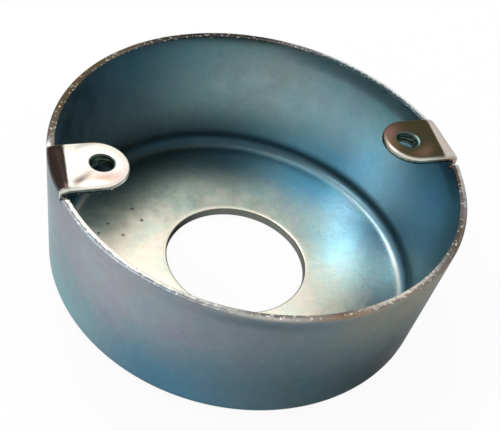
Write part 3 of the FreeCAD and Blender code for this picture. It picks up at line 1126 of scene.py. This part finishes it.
@dataclass
class DrawnCup:
    """The whole stamping: it builds the shell, both lugs and the edge as one mesh."""

    sizes: CupSizes
    fold: LugFold = field(init=False)
    shell: CupShell = field(init=False)
    tongue: TappedTongue = field(init=False)
    corner_blend: float = 0.16
    # Where the painted reflection on each lug's bend starts: this far inside the fold, tilted across the
    # lug, and over this width.
    crease_inset: float = 0.6
    crease_tilt: float = 0.1
    crease_width: float = 0.22
    fold_blend_start: float = 0.7
    fold_blend_rows: float = 0.6
    roll_share: float = 0.3

    def __post_init__(self) -> None:
        """Makes the parts that share the sizes."""
        self.fold = LugFold(self.sizes)
        self.shell = CupShell(self.sizes, self.fold)
        self.tongue = TappedTongue(self.sizes, self.fold)

    def build(self) -> bpy.types.Object:
        """Builds the mesh and dresses it in its plate."""
        mesh = StampingMesh()
        side = self.shell.notch_side()
        self._add_shell(mesh, side)
        lug_edge = self.fold.half_edge()
        half = SheetEdge.join([side, lug_edge])
        whole = SheetEdge.join([half, half.mirrored()])
        on_half = np.arange(len(half.outer)) >= len(side.outer)
        on_lug = np.concatenate([on_half, on_half[::-1]])
        self._add_edge(mesh, whole, on_lug, 1)
        self._add_edge(mesh, whole.opposite(), on_lug, -1)
        for side_of_cup in LUG_FACES:
            self._add_lug(mesh, lug_edge, side_of_cup)
        return mesh.build("zinc_plated_cup")

    def _add_shell(self, mesh: StampingMesh, side: SheetEdge) -> None:
        """Adds the turned faces with their colours, mostly painted reflections, highlights and shade, and
        their polish.

        Args:
            mesh: the mesh that takes the grid.
            side: the edge's path on one side of one lug.
        """
        points, faces = self.shell.profile(side)
        angle = np.degrees(np.arctan2(points[..., 1], points[..., 0]))
        radius = np.hypot(points[..., 0], points[..., 1])
        colours = np.zeros_like(points)
        roughness = np.zeros(points.shape[:2])
        for row, face in enumerate(faces):
            finish = FINISHES_AND_PAINTED_LIGHT[face]
            level = radius[row] if face in (Face.FLOOR, Face.UNDERSIDE, Face.OPENING) else points[row, :, 2]
            colours[row] = finish.colours(angle[row], level)
            roughness[row] = finish.roughness
        for row, face in enumerate(faces):
            if face is Face.INSIDE:
                height = points[row, :, 2]
                colours[row] = self._from_floor(colours[row], angle[row], radius[row], height)
            elif face is Face.FLOOR:
                colours[row] = self._from_opening(colours[row], angle[row], radius[row])
        mesh.add_grid(points, colours, roughness, closed=True)

    def _from_floor(
        self, wall: np.ndarray, angle: np.ndarray, radius: np.ndarray, height: np.ndarray
    ) -> np.ndarray:
        """Lets the floor's colour turn into the wall's over the inside corner.

        Args:
            wall: the wall's own colours in a row.
            angle: the row's angles round the axis.
            radius: its points' distances from the axis.
            height: its points' heights.

        Returns:
            The row's colours.
        """
        share = ease((height - self.sizes.floor) / (self.corner_blend * self.sizes.punch_radius))[:, None]
        return FINISHES_AND_PAINTED_LIGHT[Face.FLOOR].colours(angle, radius) * (1 - share) + wall * share

    def _from_opening(self, floor: np.ndarray, angle: np.ndarray, radius: np.ndarray) -> np.ndarray:
        """Lets the opening's colour turn into the floor's over the rounded break.

        Args:
            floor: the floor's own colours in a row.
            angle: the row's angles round the axis.
            radius: its points' distances from the axis.

        Returns:
            The row's colours.
        """
        share = ease((radius - self.sizes.hole_radius) / self.sizes.hole_break)[:, None]
        return FINISHES_AND_PAINTED_LIGHT[Face.OPENING].colours(angle, radius) * (1 - share) + floor * share

    def _lug_colours(self, points: np.ndarray, side: int) -> np.ndarray:
        """The colour of a lug's upper face: its flat, and its bend beyond the crease, where a painted
        reflection starts.

        Args:
            points: points of the lug, in the cup's own axes.
            side: 1 for the lug at the right, -1 for that at the left.

        Returns:
            Linear colours.
        """
        s = self.sizes
        away_x = points[..., 0] - side * s.lug_centre
        angle = np.degrees(np.arctan2(points[..., 1], away_x))
        faces = LUG_FACES[side]
        flat = FINISHES_AND_PAINTED_LIGHT[faces.flat].colours(angle, np.hypot(away_x, points[..., 1]))
        # The bend's painted reflection, pale on one lug and dark on the other, starts at a line a little
        # inside the fold and tilted across the lug.
        crease = s.fold_x - self.crease_inset + self.crease_tilt * side * points[..., 1]
        share = ease((side * points[..., 0] - crease) / self.crease_width + 0.5)[..., None]
        return flat * (1 - share) + FINISHES_AND_PAINTED_LIGHT[faces.bend].colours(angle, points[..., 2]) * share

    def _add_edge(self, mesh: StampingMesh, edge: SheetEdge, on_lug: np.ndarray, side: int) -> None:
        """Adds the sheared edge from a quarter turn before a lug to a quarter turn after it.

        Args:
            mesh: the mesh that takes the grid.
            edge: the edge's path.
            on_lug: for each point of the path, whether it lies on the lug.
            side: 1 for the lug at the right, -1 for that at the left.
        """
        points = edge.section()
        across = np.linspace(0, 1, points.shape[0])[:, None] * np.ones(points.shape[:2])
        angle = np.degrees(np.arctan2(points[..., 1], points[..., 0]))
        around = np.degrees(np.arctan2(points[..., 1], points[..., 0] - side * self.sizes.lug_centre))
        reach = np.full(angle.shape, self.sizes.lug_half_width)
        level = np.zeros_like(angle)
        # The edge's colours are mostly painted light: painted highlights on the rolls and the land, and
        # painted shade on the inner lip and the lugs' cut sides.
        rim_start = FINISHES_AND_PAINTED_LIGHT[Face.OUTSIDE].colours(angle, points[..., 2])
        choose = on_lug[None, :, None]
        roll = FINISHES_AND_PAINTED_LIGHT[LUG_FACES[side].roll].colours(around, reach)
        start = np.where(choose, self._lug_colours(points, side), rim_start)
        land = np.where(choose, roll, FINISHES_AND_PAINTED_LIGHT[Face.RIM_LAND].colours(angle, level))
        cut = FINISHES_AND_PAINTED_LIGHT[Face.LUG_CUT].colours(around, reach)
        lip = np.where(choose, cut, FINISHES_AND_PAINTED_LIGHT[Face.RIM_LIP].colours(angle, level))
        share = ease(across / self.roll_share)[..., None]
        colours = start * (1 - share) + land * share
        mesh.add_grid(points, colours, FINISHES_AND_PAINTED_LIGHT[Face.RIM_LAND].roughness, across, lip)

    def _add_lug(self, mesh: StampingMesh, edge: SheetEdge, side: int) -> None:
        """Adds a lug's fold and its tapped tongue.

        Args:
            mesh: the mesh that takes the grids.
            edge: the edge's path from the notch to the lug's tip.
            side: 1 for the lug at the right, -1 for that at the left.
        """
        place = np.array([side, side, 1])
        finish = FINISHES_AND_PAINTED_LIGHT[LUG_FACES[side].flat]
        outer_fold, inner_fold = self.fold.face(True), self.fold.face(False)
        upper = self.tongue.border(True, edge, outer_fold)
        lower = self.tongue.border(False, edge, inner_fold)
        rings = self.tongue.rings(upper, lower)
        for grid, outer in ((outer_fold, True), (inner_fold, False)):
            points = grid * place
            angle = np.degrees(np.arctan2(points[..., 1], points[..., 0]))
            wall = FINISHES_AND_PAINTED_LIGHT[Face.OUTSIDE if outer else Face.INSIDE].colours(angle, points[..., 2])
            top = self._lug_colours(points, side) if outer else wall
            share = ease((self.fold.rows() - self.fold_blend_start) / self.fold_blend_rows)[:, None, None]
            mesh.add_grid(points, wall * (1 - share) + top * share, finish.roughness)
        points = rings * place
        away_x = points[..., 0] - side * self.sizes.lug_centre
        around = np.degrees(np.arctan2(points[..., 1], away_x))
        distance = np.hypot(away_x, points[..., 1])
        # The tongue wears its lug's painted reflection and highlight, and the bore its painted shade and
        # glint.
        colours = self._lug_colours(points, side)
        count = self.tongue.face_rings
        colours[count:] = FINISHES_AND_PAINTED_LIGHT[Face.THREAD].colours(around[count:], distance[count:])
        mesh.add_grid(points, colours, finish.roughness, closed=True)


def add_node(
    tree: bpy.types.NodeTree,
    kind: str,
    settings: dict[str, Any] | None = None,
    inputs: dict[Any, Any] | None = None,
) -> bpy.types.Node:
    """Adds a node with its settings, and gives its sockets a value or a link.

    Args:
        tree: the material's or the world's node tree.
        kind: the node's type.
        settings: the node's own properties by name.
        inputs: for each socket, by name or number, a value or the socket it is linked to.

    Returns:
        The new node.
    """
    node = tree.nodes.new(kind)
    for name, value in (settings or {}).items():
        setattr(node, name, value)
    for key, value in (inputs or {}).items():
        if isinstance(value, bpy.types.NodeSocket):
            tree.links.new(value, node.inputs[key])
        else:
            node.inputs[key].default_value = value
    return node


def rgba(colour: str) -> tuple[float, float, float, float]:
    """A linear colour with full cover, as a socket takes it."""
    return (*linear(colour), 1.0)


@dataclass(frozen=True)
class ZincPlate:
    """Bright zinc plate with a blue passivate, on drawn steel.

    Sizes are in millimetres. A pit has its place across and along the floor, and its radius.

    The plate is a metal. Its large patches of colour come with the mesh and are mostly painted reflections,
    highlights and shade, and this adds what is finer: the cloudy film, the faint upright lines that drawing
    leaves in a wall, small pits, and the speckled brass and rose of the sheared edge, whose bright specks
    are painted glints.
    """

    cloud_mm: float = 5.0
    haze_mm: float = 3.0
    mottle_mm: float = 1.1
    peel_mm: float = 0.66
    draw_line_mm: float = 0.45
    fleck_mm: float = 0.45
    lip_mm: float = 0.72
    lip_start: float = 0.5
    lip_end: float = 0.66
    fleck_cover: float = 0.55
    lip_waver: float = 0.35
    film_at_grazing: float = 0.6
    pits: tuple[tuple[float, float, float], ...] = (
        (-15, 14, 0.32),
        (-14, 11, 0.32),
        (-20, 11, 0.28),
        (-22, 9, 0.26),
        (-18, 8, 0.28),
    )
    pit_cover: float = 0.8

    def build(self) -> bpy.types.Material:
        """Makes the material, which is named for its finish."""
        material = bpy.data.materials.new("blue_passivated_zinc")
        material.use_nodes = True
        tree = material.node_tree
        tree.nodes.clear()
        place = add_node(tree, "ShaderNodeTexCoord").outputs["Object"]
        # The mesh's colour, mostly painted reflection, highlight and shade.
        plate = add_node(tree, "ShaderNodeAttribute", {"attribute_name": "plate_colour"}).outputs["Color"]
        clouded = self._clouds(tree, place, plate)
        edged = self._sheared_edge(tree, place, clouded)
        pitted = self._pits(tree, place, edged)
        rough = self._polish(tree, place)
        grazing = add_node(
            tree,
            "ShaderNodeMix",
            {"data_type": "RGBA"},
            {0: self.film_at_grazing, 6: rgba("#ffffff"), 7: pitted},
        ).outputs[2]
        shader = add_node(
            tree,
            "ShaderNodeBsdfPrincipled",
            inputs={
                "Base Color": pitted,
                "Metallic": 1.0,
                "Roughness": rough,
                "Specular Tint": grazing,
                "Normal": self._relief(tree, place),
            },
        )
        add_node(tree, "ShaderNodeOutputMaterial", inputs={"Surface": shader.outputs[0]})
        return material

    def _clouds(self, tree: bpy.types.NodeTree, place: Any, plate: Any) -> Any:
        """The film's own clouds: from faint rose through neutral to faint teal, and a fine mottle.

        Args:
            tree: the material's node tree.
            place: the point's place on the piece.
            plate: the colour under the film.

        Returns:
            The clouded colour.
        """
        clouds = add_node(
            tree,
            "ShaderNodeTexNoise",
            inputs={"Vector": place, "Scale": 1 / (self.cloud_mm * MM), "Detail": 3.0},
        ).outputs[0]
        film = add_node(tree, "ShaderNodeValToRGB", inputs={"Fac": clouds})
        ramp = film.color_ramp
        ramp.elements[0].position, ramp.elements[0].color = 0.32, rgba("#f6ecf2")
        ramp.elements[1].position, ramp.elements[1].color = 0.68, rgba("#e6f4f6")
        middle = ramp.elements.new(0.5)
        middle.color = rgba("#f4f4f1")
        tinted = add_node(
            tree,
            "ShaderNodeMix",
            {"data_type": "RGBA", "blend_type": "MULTIPLY"},
            {0: 0.8, 6: plate, 7: film.outputs[0]},
        ).outputs[2]
        fine = add_node(
            tree,
            "ShaderNodeTexNoise",
            inputs={"Vector": place, "Scale": 1 / (self.mottle_mm * MM), "Detail": 1.0},
        ).outputs[0]
        mottle = add_node(
            tree,
            "ShaderNodeMapRange",
            inputs={0: fine, 1: 0.3, 2: 0.7, 3: 0.96, 4: 1.04},
        ).outputs[0]
        return add_node(
            tree, "ShaderNodeVectorMath", {"operation": "SCALE"}, {0: tinted, "Scale": mottle}
        ).outputs[0]

    def _sheared_edge(self, tree: bpy.types.NodeTree, place: Any, plate: Any) -> Any:
        """The cut edge: an uneven inner lip in the lip's colour, which is mostly painted highlight and
        shade, bright flecks, which are painted glints, and dark flecks.

        Args:
            tree: the material's node tree.
            place: the point's place on the piece.
            plate: the colour outside the edge.

        Returns:
            The colour with the edge's own.
        """
        across = add_node(tree, "ShaderNodeAttribute", {"attribute_name": "sheared"}).outputs["Fac"]
        lip = add_node(tree, "ShaderNodeAttribute", {"attribute_name": "lip_colour"}).outputs["Color"]
        noise = add_node(
            tree,
            "ShaderNodeTexNoise",
            inputs={"Vector": place, "Scale": 1 / (self.lip_mm * MM), "Detail": 3.0},
        ).outputs[0]
        uneven = add_node(
            tree, "ShaderNodeMath", {"operation": "MULTIPLY_ADD"}, {0: noise, 1: self.lip_waver, 2: across}
        ).outputs[0]
        share = add_node(
            tree,
            "ShaderNodeMapRange",
            {"interpolation_type": "SMOOTHSTEP"},
            {0: uneven, 1: self.lip_start + self.lip_waver / 2, 2: self.lip_end + self.lip_waver / 2},
        ).outputs[0]
        on_edge = add_node(tree, "ShaderNodeMapRange", inputs={0: across, 1: 0.2, 2: 0.5}).outputs[0]
        colour = add_node(
            tree, "ShaderNodeMix", {"data_type": "RGBA"}, {0: share, 6: plate, 7: lip}
        ).outputs[2]
        flecks = add_node(
            tree,
            "ShaderNodeTexNoise",
            inputs={"Vector": place, "Scale": 1 / (self.fleck_mm * MM), "Detail": 2.0},
        ).outputs[0]
        # The bright flecks are painted glints on the rough sheared edge; the dark ones are darker specks.
        for start, end, fleck in ((0.60, 0.68, "#f4f0e8"), (0.40, 0.32, "#3f372f")):
            spot = add_node(
                tree,
                "ShaderNodeMapRange",
                {"interpolation_type": "SMOOTHSTEP"},
                {0: flecks, 1: start, 2: end, 4: self.fleck_cover},
            ).outputs[0]
            spot = add_node(
                tree, "ShaderNodeMath", {"operation": "MULTIPLY"}, {0: spot, 1: on_edge}
            ).outputs[0]
            colour = add_node(
                tree, "ShaderNodeMix", {"data_type": "RGBA"}, {0: spot, 6: colour, 7: rgba(fleck)}
            ).outputs[2]
        return colour

    def _pits(self, tree: bpy.types.NodeTree, place: Any, plate: Any) -> Any:
        """Small dark pits in the floor's plate, each a soft-edged spot about its own centre.

        Args:
            tree: the material's node tree.
            place: the point's place on the piece.
            plate: the colour round the pits.

        Returns:
            The colour with the pits.
        """
        colour = plate
        for x, y, radius in self.pits:
            centre = (x * MM, y * MM, CupSizes.floor * MM)
            away = add_node(tree, "ShaderNodeVectorMath", {"operation": "DISTANCE"}, {0: place, 1: centre})
            spot = add_node(
                tree,
                "ShaderNodeMapRange",
                {"interpolation_type": "SMOOTHSTEP"},
                {0: away.outputs[1], 1: radius / 2 * MM, 2: radius * 1.5 * MM, 3: self.pit_cover, 4: 0.0},
            ).outputs[0]
            colour = add_node(
                tree, "ShaderNodeMix", {"data_type": "RGBA"}, {0: spot, 6: colour, 7: rgba("#3b3d33")}
            ).outputs[2]
        return colour

    def _polish(self, tree: bpy.types.NodeTree, place: Any) -> Any:
        """The plate's roughness: the face's own value, a little higher where the film is cloudy.

        Args:
            tree: the material's node tree.
            place: the point's place on the piece.

        Returns:
            The roughness.
        """
        own = add_node(tree, "ShaderNodeAttribute", {"attribute_name": "plate_roughness"}).outputs["Fac"]
        haze = add_node(
            tree,
            "ShaderNodeTexNoise",
            inputs={"Vector": place, "Scale": 1 / (self.haze_mm * MM), "Detail": 3.0},
        ).outputs[0]
        cloudy = add_node(
            tree,
            "ShaderNodeMapRange",
            inputs={0: haze, 1: 0.3, 2: 0.7, 3: -0.04, 4: 0.05},
        ).outputs[0]
        return add_node(tree, "ShaderNodeMath", {"operation": "ADD"}, {0: own, 1: cloudy}).outputs[0]

    def _relief(self, tree: bpy.types.NodeTree, place: Any) -> Any:
        """Upright drawing lines, stretched along the axis, over a fine orange peel.

        Args:
            tree: the material's node tree.
            place: the point's place on the piece.

        Returns:
            The bumped normal.
        """
        stretched = add_node(
            tree, "ShaderNodeMapping", {"vector_type": "POINT"}, {"Vector": place, "Scale": (1.0, 1.0, 0.06)}
        ).outputs[0]
        lines = add_node(
            tree,
            "ShaderNodeTexNoise",
            inputs={"Vector": stretched, "Scale": 1 / (self.draw_line_mm * MM), "Detail": 2.0},
        ).outputs[0]
        peel = add_node(
            tree,
            "ShaderNodeTexNoise",
            inputs={"Vector": place, "Scale": 1 / (self.peel_mm * MM), "Detail": 2.0},
        ).outputs[0]
        both = add_node(
            tree, "ShaderNodeMath", {"operation": "MULTIPLY_ADD"}, {0: lines, 1: 0.5, 2: peel}
        ).outputs[0]
        return add_node(
            tree, "ShaderNodeBump", inputs={"Strength": 0.04, "Distance": 0.05 * MM, "Height": both}
        ).outputs[0]


@dataclass(frozen=True)
class Softbox:
    """A square lamp that looks at the cup, sized and placed in metres, with its power in watts."""

    name: str
    place: tuple[float, float, float]
    size: float
    power: float


@dataclass
class Studio:
    """A white table and surround, two soft lamps, and the camera."""

    azimuth: float = -28.74
    elevation: float = 43.16
    roll: float = 14.80
    distance_mm: float = 169.08
    off_centre_mm: tuple[float, float] = (-2.67, -8.37)
    lens_mm: float = 70.416
    sensor_mm: float = 36.0
    nearest_m: float = 0.01
    table_half_m: float = 3.0
    table_glow: float = 0.93
    softboxes: tuple[Softbox, ...] = (
        Softbox("left_softbox", (-0.35, 0.10, 0.45), 0.18, 0.8),
        Softbox("rear_softbox", (-0.03, 0.28, 0.53), 0.14, 0.85),
    )

    def build(self) -> None:
        """Builds the surround, the table, the lamps and the camera."""
        self._surround()
        self._table()
        self._lamps()
        self._camera()

    def _shown(self, tree: bpy.types.NodeTree) -> Any:
        """Which rays see the backdrop itself: the camera's, reflected ones and those through glass.

        Args:
            tree: the node tree that asks.

        Returns:
            1 for those rays and 0 for the rest.
        """
        path = add_node(tree, "ShaderNodeLightPath")
        either = add_node(
            tree,
            "ShaderNodeMath",
            {"operation": "MAXIMUM"},
            {0: path.outputs["Is Camera Ray"], 1: path.outputs["Is Glossy Ray"]},
        ).outputs[0]
        return add_node(
            tree,
            "ShaderNodeMath",
            {"operation": "MAXIMUM"},
            {0: either, 1: path.outputs["Is Transmission Ray"]},
        ).outputs[0]

    def _surround(self) -> None:
        """White to look at, and an even, softer light on the table."""
        world = bpy.data.worlds.new("white_surround")
        bpy.context.scene.world = world
        world.use_nodes = True
        tree = world.node_tree
        tree.nodes.clear()
        strength = add_node(
            tree, "ShaderNodeMapRange", inputs={0: self._shown(tree), 1: 0.0, 2: 1.0, 3: 0.7, 4: 1.0}
        ).outputs[0]
        sky = add_node(tree, "ShaderNodeBackground", inputs={"Color": rgba("#ffffff"), "Strength": strength})
        add_node(tree, "ShaderNodeOutputWorld", inputs={"Surface": sky.outputs[0]})

    def _table(self) -> None:
        """A wide white table under the cup, which keeps a faint shadow."""
        mesh = bpy.data.meshes.new("table")
        half = self.table_half_m
        corners = [(-half, -half, 0), (half, -half, 0), (half, half, 0), (-half, half, 0)]
        mesh.from_pydata(corners, [], [(0, 1, 2, 3)])
        table = bpy.data.objects.new("table", mesh)
        bpy.context.scene.collection.objects.link(table)
        material = bpy.data.materials.new("white_table")
        material.use_nodes = True
        tree = material.node_tree
        tree.nodes.clear()
        board = add_node(tree, "ShaderNodeBsdfDiffuse", inputs={"Color": (0.9, 0.9, 0.9, 1.0)})
        glow = add_node(tree, "ShaderNodeEmission", inputs={"Color": (1.0, 1.0, 1.0, 1.0), "Strength": 1.0})
        amount = add_node(
            tree, "ShaderNodeMath", {"operation": "MULTIPLY"}, {0: self._shown(tree), 1: self.table_glow}
        ).outputs[0]
        mix = add_node(
            tree, "ShaderNodeMixShader", inputs={0: amount, 1: board.outputs[0], 2: glow.outputs[0]}
        )
        add_node(tree, "ShaderNodeOutputMaterial", inputs={"Surface": mix.outputs[0]})
        mesh.materials.append(material)

    def _lamps(self) -> None:
        """Two soft lamps, high on the left and behind on the right."""
        for softbox in self.softboxes:
            lamp = bpy.data.lights.new(softbox.name, "AREA")
            lamp.shape = "SQUARE"
            lamp.size = softbox.size
            lamp.energy = softbox.power
            holder = bpy.data.objects.new(softbox.name, lamp)
            holder.location = softbox.place
            holder.rotation_euler = (-Vector(softbox.place)).to_track_quat("-Z", "Y").to_euler()
            bpy.context.scene.collection.objects.link(holder)

    def _camera(self) -> None:
        """The camera, from its direction, its roll and how far the cup lies off its own centre line."""
        azimuth, elevation, roll = (math.radians(a) for a in (self.azimuth, self.elevation, self.roll))
        back = Vector(
            (
                math.sin(azimuth) * math.cos(elevation),
                -math.cos(azimuth) * math.cos(elevation),
                math.sin(elevation),
            )
        )
        level = Vector((math.cos(azimuth), math.sin(azimuth), 0))
        upright = back.cross(level)
        right = level * math.cos(roll) + upright * math.sin(roll)
        up = upright * math.cos(roll) - level * math.sin(roll)
        place = back * self.distance_mm - right * self.off_centre_mm[0] - up * self.off_centre_mm[1]
        lens = bpy.data.cameras.new("camera")
        lens.sensor_width = self.sensor_mm
        lens.lens = self.lens_mm
        lens.clip_start = self.nearest_m
        camera = bpy.data.objects.new("camera", lens)
        turn = Matrix((right, up, back)).transposed().to_4x4()
        camera.matrix_world = Matrix.Translation(place * MM) @ turn
        bpy.context.scene.collection.objects.link(camera)
        bpy.context.scene.camera = camera


def main() -> None:
    """Loads the frame, builds the cup and its studio, and hides the frame's own part."""
    logging.basicConfig(level=logging.INFO, format="%(name)s: %(message)s")
    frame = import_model()
    sizes = CupSizes.from_frame(frame["record"])
    cup = DrawnCup(sizes).build()
    cup.data.materials.append(ZincPlate().build())
    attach(cup, BODY)
    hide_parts(CAD_NODE)
    LOG.info("%s: %d vertices", cup.name, len(cup.data.vertices))
    Studio().build()
    bpy.context.scene.view_settings.view_transform = "Standard"


if __name__ == "__main__":
    main()
